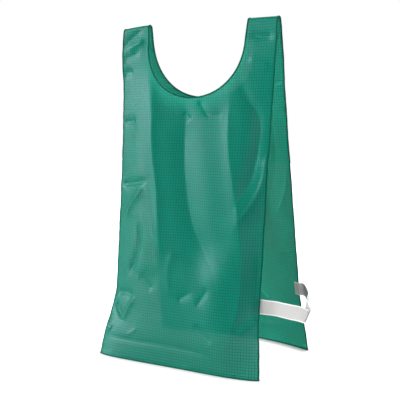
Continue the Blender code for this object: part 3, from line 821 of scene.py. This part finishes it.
def add_tube(name, points, along, around, closed, uv_name, material):
    """Skin sections of points with a tube. along and around place each point on its cloth."""
    sizes = points.shape[:2]
    grid = np.arange(sizes[0] * sizes[1]).reshape(sizes)
    wrapped = np.hstack([grid, grid[:, :1]])
    if closed:
        wrapped = np.vstack([wrapped, wrapped[:1]])
    caps = () if closed else (grid[0][::-1].tolist(), grid[-1].tolist())
    uv = np.stack(np.broadcast_arrays(along[:, None], around[None, :]), axis=-1)
    return add_piece(
        name, points.reshape(-1, 3), grid_faces(wrapped), uv.reshape(-1, 2), uv_name, material,
        caps,
    )


def add_tape(name, sections, closed, material):
    """Skin a folded tape along its frame."""
    profile = tape_profile()
    edge, inward, out = (sections[:, None, part] for part in range(3))
    points = edge + inward * profile[:, :1] + out * profile[:, 1:]
    along = way_travelled(sections[:, 0])
    return add_tube(name, points, along, way_travelled(profile), closed, "Tape", material)


def add_node(tree, kind, inputs=(), **settings):
    """Add a node to a tree with its settings.

    inputs are by name or in order. Each is a plain value, another node's output, or a node
    whose first output is meant.
    """
    node = tree.nodes.new(kind)
    for name, value in settings.items():
        setattr(node, name, value)
    for socket, value in inputs.items() if isinstance(inputs, dict) else enumerate(inputs):
        if isinstance(value, bpy.types.Node):
            value = value.outputs[0]
        if isinstance(value, bpy.types.NodeSocket):
            tree.links.new(value, node.inputs[socket])
        else:
            node.inputs[socket].default_value = value
    return node


def stitch_tree():
    """Geometry Nodes that lay a short rounded stitch at each step along a line."""
    tree = bpy.data.node_groups.new("Stitches", "GeometryNodeTree")
    face = tree.interface
    face.new_socket("Line", in_out="INPUT", socket_type="NodeSocketGeometry")
    for name in ("Pitch", "Length", "Radius"):
        face.new_socket(name, in_out="INPUT", socket_type="NodeSocketFloat")
    face.new_socket("Thread", in_out="INPUT", socket_type="NodeSocketMaterial")
    face.new_socket("Stitches", in_out="OUTPUT", socket_type="NodeSocketGeometry")
    given = add_node(tree, "NodeGroupInput").outputs
    curve = add_node(tree, "GeometryNodeMeshToCurve", {"Mesh": given["Line"]})
    steps = add_node(
        tree, "GeometryNodeResampleCurve", {"Curve": curve, "Length": given["Pitch"]},
        mode="LENGTH",
    )
    bead = add_node(
        tree, "GeometryNodeMeshUVSphere",
        {"Segments": STITCH_SIDES, "Rings": STITCH_RINGS, "Radius": 1.0},
    )
    soft = add_node(tree, "GeometryNodeSetShadeSmooth", {"Geometry": bead})
    half = add_node(tree, MATH, (given["Length"], 0.5), operation="MULTIPLY")
    size = add_node(tree, "ShaderNodeCombineXYZ", (given["Radius"], given["Radius"], half))
    tangent = add_node(tree, "GeometryNodeInputTangent")
    turn = add_node(tree, "FunctionNodeAlignRotationToVector", {"Vector": tangent}, axis="Z")
    laid = add_node(
        tree, "GeometryNodeInstanceOnPoints",
        {"Points": steps, "Instance": soft, "Rotation": turn, "Scale": size},
    )
    real = add_node(tree, "GeometryNodeRealizeInstances", {"Geometry": laid})
    dressed = add_node(
        tree, "GeometryNodeSetMaterial", {"Geometry": real, "Material": given["Thread"]},
    )
    add_node(tree, "NodeGroupOutput", {"Stitches": dressed})
    return tree


def add_stitches(name, lines, tree, material):
    """Lay stitches along lines of points, and keep them as a plain mesh."""
    sewing = bpy.context.scene.bib_sewing
    points = np.concatenate(lines)
    starts = np.cumsum([0] + [len(line) for line in lines])
    edges = [
        (place, place + 1)
        for start, end in zip(starts[:-1], starts[1:]) for place in range(start, end - 1)
    ]
    guide_mesh = bpy.data.meshes.new(name + "_line")
    guide_mesh.from_pydata(points.tolist(), edges, [])
    guide = add_object(name + "_line", guide_mesh)
    modifier = guide.modifiers.new("Stitches", "NODES")
    modifier.node_group = tree
    values = {
        "Pitch": sewing.stitch_pitch, "Length": sewing.stitch_length,
        "Radius": sewing.thread_radius, "Thread": material,
    }
    for socket in tree.interface.items_tree:
        if socket.in_out == "INPUT" and socket.name in values:
            modifier[socket.identifier] = values[socket.name]
    evaluated = guide.evaluated_get(bpy.context.evaluated_depsgraph_get())
    mesh = bpy.data.meshes.new_from_object(evaluated)
    mesh.name = name
    bpy.data.objects.remove(guide, do_unlink=True)
    bpy.data.meshes.remove(guide_mesh)
    return add_object(name, mesh)


def tape_stitch_lines(sections, closed):
    """Lines of stitches on a tape's outer and inner face, near its cut edges."""
    sewing = bpy.context.scene.bib_sewing
    edge, inward, out = sections[:, 0], sections[:, 1], sections[:, 2]
    rise = sewing.tape_half_depth * TAPE_RISE + sewing.thread_radius * THREAD_OUT
    middle = edge + inward * sewing.tape_width * STITCH_LINE
    lines = [middle + out * rise, middle - out * rise]
    if closed:
        lines = [np.vstack([line, line[:1]]) for line in lines]
    return lines


def elastic_end(panel, sign):
    """Four points of an elastic's sewn end, inside a panel, and its way up there.

    They run from the cut end to the panel's edge.
    """
    sewing = bpy.context.scene.bib_sewing
    elastic = bpy.context.scene.bib_elastic
    cloth = bpy.context.scene.bib_cloth
    edge = half_width_at(panel.elastic_z)
    over_tape = edge - sewing.tape_width / 2
    beside_tape = edge - sewing.tape_width * 2
    cut_end = edge - ELASTIC_END_LENGTH
    x = sign * np.array([cut_end, (cut_end + beside_tape) / 2, beside_tape, over_tape])
    down = np.full(len(x), down_at(panel, panel.elastic_z))
    depth = elastic.half_depth + elastic.rib_rise
    on_net = cloth.wall / 2 + depth + NET_CLEARANCE
    on_tape = sewing.tape_half_depth + depth + TAPE_CLEARANCE
    lift = np.array([on_net, on_net, on_net, on_tape])[:, None]
    points = panel_points(panel, x, down) - panel_normals(panel, x, down) * lift
    up = unit(panel_points(panel, x, down - PROBE) - panel_points(panel, x, down + PROBE))
    return points, up


def smooth_route(rows, steps):
    """Pass a smooth curve through the rows and divide it evenly by its length."""
    rows = np.asarray(rows)
    places = way_travelled(rows[:, :3])
    fine = np.linspace(0.0, places[-1], steps * ROUTE_FINENESS)
    curve = np.stack([smooth_table(list(zip(places, column)), fine) for column in rows.T], axis=-1)
    travelled = way_travelled(curve[:, :3])
    even = np.linspace(0.0, travelled[-1], steps + 1)
    return np.stack([np.interp(even, travelled, column) for column in curve.T], axis=-1)


def elastic_frame(sign, route):
    """Middle points of an elastic, its way up and its way out, with the length travelled."""
    front_points, front_up = elastic_end(FRONT, sign)
    back_points, back_up = elastic_end(BACK, sign)
    free = np.array([(row.x, row.y, row.z, row.lean_x, row.lean_y, 1.0) for row in route])
    rows = np.vstack([
        np.hstack([front_points, front_up]),
        free,
        np.hstack([back_points, back_up])[::-1],
    ])
    curve = smooth_route(rows, ELASTIC_STEPS)
    centre = curve[:, :3]
    along = unit(np.gradient(centre, axis=0))
    up = unit(curve[:, 3:])
    out = unit(np.cross(along, up))
    return centre, up, out, way_travelled(centre)


def add_elastic(name, sign, route, material):
    """A ribbed elastic from the front panel's inner face round to the back panel's."""
    elastic = bpy.context.scene.bib_elastic
    centre, up, out, travelled = elastic_frame(sign, route)
    across = np.linspace(-0.5, 0.5, elastic.ribs * RIB_STEPS + 1)
    rib = np.cos(across * elastic.ribs * 2 * math.pi)
    edge_round = np.sqrt(np.clip(1 - (np.abs(across) * 2) ** ELASTIC_EDGE_POWER, 0.0, 1.0))
    depth = (elastic.half_depth + elastic.rib_rise * rib) * edge_round
    face = np.stack([across * elastic.width, depth], axis=1)
    profile = np.vstack([face, face[-2:0:-1] * (1, -1)])
    points = centre[:, None] + up[:, None] * profile[:, :1] + out[:, None] * profile[:, 1:]
    return add_tube(name, points, travelled, profile[:, 0], False, "Band", material)


def tack_lines(panel, sign):
    """A stitched box through an elastic's sewn end: on the elastic, and outside the panel."""
    sewing = bpy.context.scene.bib_sewing
    elastic = bpy.context.scene.bib_elastic
    cloth = bpy.context.scene.bib_cloth
    edge = half_width_at(panel.elastic_z)
    middle = down_at(panel, panel.elastic_z)
    half = elastic.width / 2 - TACK_SIDE_MARGIN
    near = edge - sewing.tape_width - TACK_TAPE_MARGIN
    far = edge - ELASTIC_END_LENGTH + TACK_END_MARGIN
    corners = [(near, half), (near, -half), (far, -half), (far, half), (near, half), (far, -half)]
    stations = []
    for (x_start, rise_start), (x_end, rise_end) in zip(corners[:-1], corners[1:]):
        for share in np.linspace(0.0, 1.0, TACK_STEPS + 1)[:-1]:
            x = x_start + (x_end - x_start) * share
            stations.append((x * sign, middle + rise_start + (rise_end - rise_start) * share))
    x, down = np.array(stations).T
    points = panel_points(panel, x, down)
    out = panel_normals(panel, x, down)
    inside = cloth.wall / 2 + 2 * (elastic.half_depth + elastic.rib_rise) + NET_CLEARANCE
    outside = cloth.wall / 2 + sewing.thread_radius * THREAD_OUT
    return points - out * inside, points + out * outside


def new_material(name, inputs):
    """A Principled material with these plain inputs, with its tree and its shader."""
    material = bpy.data.materials.new(name)
    material.use_nodes = True
    shader = material.node_tree.nodes["Principled BSDF"]
    for socket, value in inputs.items():
        shader.inputs[socket].default_value = value
    return material, material.node_tree, shader


def cut_map(tree, uv_name):
    """The piece's own places on its cloth, whole and as two numbers, in metres."""
    places = add_node(tree, "ShaderNodeUVMap", uv_map=uv_name)
    parts = add_node(tree, "ShaderNodeSeparateXYZ", (places,))
    return places, parts.outputs["X"], parts.outputs["Y"]


def thread_lines(tree, place, pitch, share):
    """1 on evenly spaced threads and 0 between them. share is a thread's part of the pitch."""
    for operation, others in (
        ("DIVIDE", (pitch,)), ("FRACT", ()), ("SUBTRACT", (0.5,)), ("ABSOLUTE", ()),
        ("DIVIDE", (share / 2,)), ("SMOOTH_MIN", (1.0, THREAD_SOFTNESS)),
        ("MULTIPLY_ADD", (-1.0, 1.0)),
    ):
        place = add_node(tree, MATH, (place, *others), operation=operation)
    return place


def finish_material(tree, shader, colour, height, depth):
    """Give the shader its colour, and raise its surface by height times depth in metres."""
    tree.links.new(colour.outputs[MIXED], shader.inputs["Base Color"])
    raised = add_node(
        tree, "ShaderNodeBump", {"Strength": 1.0, "Distance": depth, "Height": height},
    )
    tree.links.new(raised.outputs["Normal"], shader.inputs["Normal"])


def net_material():
    """Polyester tricot net, warp knitted with small holes and a check of doubled threads.

    Bright filament yarn gives it a satin sheen, cool in tone, on the lit side of a fold. The
    yarn is thin, so a single layer glows where it is lit from behind. The holes, half closed
    by loose fibres, let a little of the ground through, and two layers hide it.
    """
    cloth = bpy.context.scene.bib_cloth
    upright_share = 0.32
    level_share = 0.34
    patch_size = 0.035
    fibre_size = 0.0016
    knit_depth = 0.00010
    material, tree, shader = new_material("polyester_tricot_net", {
        "Roughness": 0.38,
        "Specular IOR Level": 0.25,
        "Specular Tint": tone(cloth.sheen_colour),
        "Sheen Weight": 0.03,
        "Sheen Tint": tone(cloth.sheen_colour),
        "Subsurface Weight": 0.8,
        "Subsurface Radius": (0.3, 1.0, 0.92),
        "Subsurface Scale": 1.3 * MM,
    })
    place, across, down = cut_map(tree, "Cut")
    cells = add_node(
        tree, "ShaderNodeTexVoronoi",
        {"Vector": place, "Scale": 1 / cloth.hole_pitch, "Randomness": 0.0},
        voronoi_dimensions="2D",
    )
    hole_share = cloth.hole_radius / cloth.hole_pitch
    upright = thread_lines(tree, across, cloth.check_across, upright_share)
    level = thread_lines(tree, down, cloth.check_down, level_share)
    check = add_node(tree, MATH, (upright, level), operation="MAXIMUM")
    yarn = add_node(tree, MATH, (cells, hole_share), operation="GREATER_THAN")
    doubled = add_node(tree, MATH, (check, 0.35), operation="GREATER_THAN")
    covered = add_node(tree, MATH, (yarn, doubled), operation="MAXIMUM")
    opaque = add_node(tree, MATH, (covered, 1 - HOLE_FUZZ, HOLE_FUZZ), operation="MULTIPLY_ADD")
    tree.links.new(opaque.outputs[0], shader.inputs["Alpha"])

    patches = add_node(
        tree, NOISE, {"Vector": place, "Scale": 1 / patch_size, "Detail": 3.0, "Roughness": 0.55},
        noise_dimensions="2D",
    )
    fibres = add_node(
        tree, NOISE, {"Vector": place, "Scale": 1 / fibre_size, "Detail": 2.0},
        noise_dimensions="2D",
    )
    light_green = tone(cloth.net_colour, 1.12)
    dark_green = tone(cloth.net_colour, 0.90)
    mottled = add_node(
        tree, MIX, {"Factor": patches, FIRST: dark_green, SECOND: light_green}, data_type="RGBA",
    )
    speckle = add_node(tree, MATH, (fibres, 0.30), operation="MULTIPLY")
    speckled = add_node(
        tree, MIX, {"Factor": speckle, FIRST: mottled.outputs[MIXED], SECOND: light_green},
        data_type="RGBA",
    )
    check_share = add_node(tree, MATH, (check, 0.75), operation="MULTIPLY")
    checked = add_node(
        tree, MIX,
        {"Factor": check_share, FIRST: speckled.outputs[MIXED], SECOND: tone(cloth.check_colour)},
        data_type="RGBA",
    )
    knit = add_node(tree, MATH, (cells, 0.8, check), operation="MULTIPLY_ADD")
    height = add_node(tree, MATH, (fibres, 0.4, knit), operation="MULTIPLY_ADD")
    finish_material(tree, shader, checked, height, knit_depth)
    return material


def tape_material():
    """Polyester tape, woven in a fine twill and folded over the net's cut edge.

    It is matt and darker than the net, because light does not pass through it. Its colour
    has painted light where its twill threads and puckers stand up, and painted shade between.
    """
    sewing = bpy.context.scene.bib_sewing
    twill_pitch = 0.00055
    pucker_size = 0.0045
    twill_depth = 0.00012
    material, tree, shader = new_material(
        "woven_polyester_tape", {"Roughness": 0.70, "Specular IOR Level": 0.08},
    )
    place, along, around = cut_map(tree, "Tape")
    slant = add_node(tree, MATH, (along, around), operation="ADD")
    twill = thread_lines(tree, slant, twill_pitch, 0.8)
    puckers = add_node(
        tree, NOISE, {"Vector": place, "Scale": 1 / pucker_size, "Detail": 2.0},
        noise_dimensions="2D",
    )
    # Painted light and shade: lighter where the twill threads and puckers stand up, darker between
    # them
    dark = tone(sewing.tape_colour, 0.75)
    pucker_light_and_shade = add_node(
        tree, MIX, {"Factor": puckers, FIRST: dark, SECOND: tone(sewing.tape_colour, 1.35)},
        data_type="RGBA",
    )
    twill_share = add_node(tree, MATH, (twill, 0.3), operation="MULTIPLY")
    lined = add_node(
        tree, MIX, {"Factor": twill_share, FIRST: dark, SECOND: pucker_light_and_shade.outputs[MIXED]},
        data_type="RGBA",
    )
    height = add_node(tree, MATH, (twill, puckers), operation="ADD")
    finish_material(tree, shader, lined, height, twill_depth)
    return material


def thread_material(name, colour):
    """Spun polyester sewing thread: softly matt, a little uneven along its twist."""
    twist_size = 0.0008
    twist_depth = 0.00005
    material, tree, shader = new_material(name, {"Roughness": 0.6, "Specular IOR Level": 0.12})
    places = add_node(tree, "ShaderNodeTexCoord").outputs["Object"]
    fluff = add_node(tree, NOISE, {"Vector": places, "Scale": 1 / twist_size, "Detail": 2.0})
    tint = add_node(
        tree, MIX, {"Factor": fluff, FIRST: tone(colour, 0.8), SECOND: tone(colour, 1.25)},
        data_type="RGBA",
    )
    finish_material(tree, shader, tint, fluff, twist_depth)
    return material


def elastic_material():
    """Woven elastic: white polyester yarn over rubber cords, with close weft threads.

    The ribs over the cords are bright, the grooves between them are greyer with painted
    shade, and the edges, where the weft turns back, are the brightest.
    """
    elastic = bpy.context.scene.bib_elastic
    weft_pitch = 0.0009
    fluff_size = 0.004
    weft_depth = 0.00008
    selvedge_width = 0.0019
    material, tree, shader = new_material("woven_rib_elastic", {
        "Roughness": 0.72,
        "Specular IOR Level": 0.2,
        "Sheen Weight": 0.1,
        "Subsurface Weight": 0.5,
        "Subsurface Radius": (1.0, 1.0, 1.0),
        "Subsurface Scale": 2.5 * MM,
    })
    place, along, across = cut_map(tree, "Band")
    weft = thread_lines(tree, along, weft_pitch, 0.8)
    groove = thread_lines(tree, across, elastic.width / elastic.ribs, 0.5)
    off_middle = add_node(tree, MATH, (across,), operation="ABSOLUTE")
    border = add_node(
        tree, MATH, (off_middle, elastic.width / 2 - selvedge_width), operation="GREATER_THAN",
    )
    fluff = add_node(
        tree, NOISE, {"Vector": place, "Scale": 1 / fluff_size, "Detail": 3.0},
        noise_dimensions="2D",
    )
    grey = tone(elastic.band_colour, 0.86)
    # Painted shade: the grooves between the ribs are greyer
    groove_share = add_node(tree, MATH, (groove, 0.5), operation="MULTIPLY")
    ribbed = add_node(
        tree, MIX, {"Factor": groove_share, FIRST: tone(elastic.band_colour), SECOND: grey},
        data_type="RGBA",
    )
    fluff_share = add_node(tree, MATH, (fluff, 0.25), operation="MULTIPLY")
    mottled = add_node(
        tree, MIX, {"Factor": fluff_share, FIRST: ribbed.outputs[MIXED], SECOND: grey},
        data_type="RGBA",
    )
    edged = add_node(
        tree, MIX,
        {"Factor": border, FIRST: mottled.outputs[MIXED], SECOND: tone(elastic.selvedge_colour)},
        data_type="RGBA",
    )
    height = add_node(tree, MATH, (fluff, 0.5, weft), operation="MULTIPLY_ADD")
    finish_material(tree, shader, edged, height, weft_depth)
    return material


def floor_material():
    """Matt white studio paper, lit from within a little so that it shows as pure white.

    The glow fades where something stands on it, so that a tight shadow of contact shows.
    """
    shadow_reach = 0.022
    shadow_power = 2.5
    glow_strength = 0.90
    material, tree, shader = new_material("white_studio_paper", {
        "Roughness": 0.9,
        "Specular IOR Level": 0.1,
        "Base Color": tone(linear_colour("DADADA")),
        "Emission Color": tone(linear_colour("FFFFFF")),
    })
    seen = add_node(tree, "ShaderNodeLightPath").outputs["Is Camera Ray"]
    near = add_node(
        tree, "ShaderNodeAmbientOcclusion", {"Distance": shadow_reach}, samples=8,
    ).outputs["AO"]
    faded = add_node(tree, MATH, (near, shadow_power), operation="POWER")
    glow = add_node(tree, MATH, (faded, glow_strength), operation="MULTIPLY")
    shown = add_node(tree, MATH, (seen, glow), operation="MULTIPLY")
    tree.links.new(shown.outputs[0], shader.inputs["Emission Strength"])
    return material


class BIB_OT_net_panels(bpy.types.Operator):
    """Make the front and back panels of net"""

    bl_idname = "bib.net_panels"
    bl_label = "Net panels"

    def execute(self, context):
        material = net_material()
        for panel in (FRONT, BACK):
            net = add_net(panel, material)
            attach(net, BODY)
            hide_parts(panel.name + "_panel")
        return {"FINISHED"}


class BIB_OT_tapes(bpy.types.Operator):
    """Fold tape over the neck, the sides and the hems, and sew it down"""

    bl_idname = "bib.tapes"
    bl_label = "Tapes and their stitches"

    def execute(self, context):
        tape = tape_material()
        thread = thread_material("green_polyester_thread", context.scene.bib_sewing.thread_colour)
        tree = stitch_tree()
        runs = (
            ("neck", neck_tape_frame(), True),
            ("right_side", side_tape_frame(1), False),
            ("left_side", side_tape_frame(-1), False),
            ("front_hem", hem_tape_frame(FRONT), False),
            ("back_hem", hem_tape_frame(BACK), False),
        )
        for name, sections, closed in runs:
            piece = add_tape(name + "_tape", sections, closed, tape)
            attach(piece, BODY)
            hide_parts(name + "_binding")
            lines = tape_stitch_lines(sections, closed)
            stitches = add_stitches(name + "_stitches", lines, tree, thread)
            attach(stitches, BODY)
        return {"FINISHED"}


class BIB_OT_elastics(bpy.types.Operator):
    """Weave the two elastics and tack their ends to the panels"""

    bl_idname = "bib.elastics"
    bl_label = "Elastics and their tacks"

    def execute(self, context):
        band = elastic_material()
        white_thread = thread_material(
            "white_polyester_thread", context.scene.bib_sewing.white_thread_colour)
        green_thread = thread_material(
            "green_polyester_bobbin_thread", context.scene.bib_sewing.thread_colour)
        tree = stitch_tree()
        for name, sign, route in (("right", 1, RIGHT_ROUTE), ("left", -1, LEFT_ROUTE)):
            piece = add_elastic(name + "_band", sign, route, band)
            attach(piece, BODY)
            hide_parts(name + "_elastic")
            inside, outside = zip(*(tack_lines(panel, sign) for panel in (FRONT, BACK)))
            tacks = add_stitches(name + "_tacks", inside, tree, white_thread)
            outer_tacks = add_stitches(name + "_outer_tacks", outside, tree, green_thread)
            for sewn in (tacks, outer_tacks):
                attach(sewn, BODY)
        return {"FINISHED"}


class BIB_OT_declare_cloth(bpy.types.Operator):
    """Work out each panel's neck curve and the names of its tapes, and make nothing from them"""

    bl_idname = "bib.declare_cloth"
    bl_label = "Cut of the cloth"

    def execute(self, context):
        for panel in (FRONT, BACK):
            x, down, _ = neck_curve(panel)
            pieces = [panel.name + "_hem_tape"]
            if panel is FRONT:
                pieces += ["neck_tape", "right_side_tape", "left_side_tape"]
        return {"FINISHED"}


class BIB_OT_stage(bpy.types.Operator):
    """Set up the floor, the lights and the camera"""

    bl_idname = "bib.stage"
    bl_label = "Stage"

    def execute(self, context):
        stage = context.scene.bib_stage
        half = stage.floor_width / 2
        mesh = bpy.data.meshes.new("studio_floor")
        corners = [(-half, -half, 0.0), (half, -half, 0.0), (half, half, 0.0), (-half, half, 0.0)]
        mesh.from_pydata(corners, [], [(0, 1, 2, 3)])
        mesh.materials.append(floor_material())
        add_object("studio_floor", mesh)

        world = bpy.data.worlds.new("studio_light")
        world.use_nodes = True
        tree = world.node_tree
        light = tree.nodes["Background"]
        light.inputs["Color"].default_value = tone(linear_colour("FFFFFF"))
        seen = add_node(tree, "ShaderNodeLightPath").outputs["Is Camera Ray"]
        shown = add_node(tree, MATH, (seen, 1.0 - stage.sky, stage.sky), operation="MULTIPLY_ADD")
        tree.links.new(shown.outputs[0], light.inputs["Strength"])
        context.scene.world = world

        for name, strength, turn in (
            ("key_light", stage.key, -stage.key_turn),
            ("fill_light", stage.fill, stage.fill_turn),
            ("back_light", stage.back, math.pi),
        ):
            lamp = bpy.data.lights.new(name, "SUN")
            lamp.energy = strength
            lamp.angle = stage.lamp_spread
            rotation = (math.pi / 2 - stage.lamp_lift, 0.0, turn)
            add_object(name, lamp).rotation_euler = rotation

        lens = bpy.data.cameras.new("camera")
        lens.lens = stage.lens
        lens.shift_x = stage.shift_across
        lens.shift_y = stage.shift_up
        camera = add_object("camera", lens)
        camera.location = stage.camera_place
        camera.rotation_euler = (math.pi / 2 - stage.camera_dip, 0.0, stage.camera_turn)
        context.scene.camera = camera
        context.scene.view_settings.view_transform = "Standard"
        return {"FINISHED"}


class BIB_PT_workshop(bpy.types.Panel):
    """Lists the steps that make the bib"""

    bl_idname = "BIB_PT_workshop"
    bl_label = "Mesh training bib"
    bl_space_type = "VIEW_3D"
    bl_region_type = "UI"
    bl_category = "Bib"

    def draw(self, context):
        layout = self.layout
        for group in ("bib_cloth", "bib_sewing", "bib_elastic", "bib_stage"):
            settings = getattr(context.scene, group)
            column = layout.column()
            for name in settings.__annotations__:
                column.prop(settings, name)
        for step in STEPS:
            layout.operator(step.bl_idname)


SETTINGS = {
    "bib_cloth": BibClothSettings,
    "bib_sewing": BibSewingSettings,
    "bib_elastic": BibElasticSettings,
    "bib_stage": BibStageSettings,
}
STEPS = (
    BIB_OT_stage,
    BIB_OT_net_panels,
    BIB_OT_tapes,
    BIB_OT_elastics,
    BIB_OT_declare_cloth,
)


def register():
    """Register the settings, the steps and the panel."""
    for name, group in SETTINGS.items():
        bpy.utils.register_class(group)
        setattr(bpy.types.Scene, name, PointerProperty(type=group))
    for step in STEPS + (BIB_PT_workshop,):
        bpy.utils.register_class(step)


def unregister():
    """Take the settings, the steps and the panel away again."""
    for step in (BIB_PT_workshop,) + STEPS[::-1]:
        bpy.utils.unregister_class(step)
    for name, group in SETTINGS.items():
        delattr(bpy.types.Scene, name)
        bpy.utils.unregister_class(group)


def main():
    """Make the whole bib on its stage."""
    register()
    bpy.ops.bib.stage()
    bpy.ops.bib.net_panels()
    bpy.ops.bib.tapes()
    bpy.ops.bib.elastics()
    bpy.ops.bib.declare_cloth()


if __name__ == "__main__":
    main()
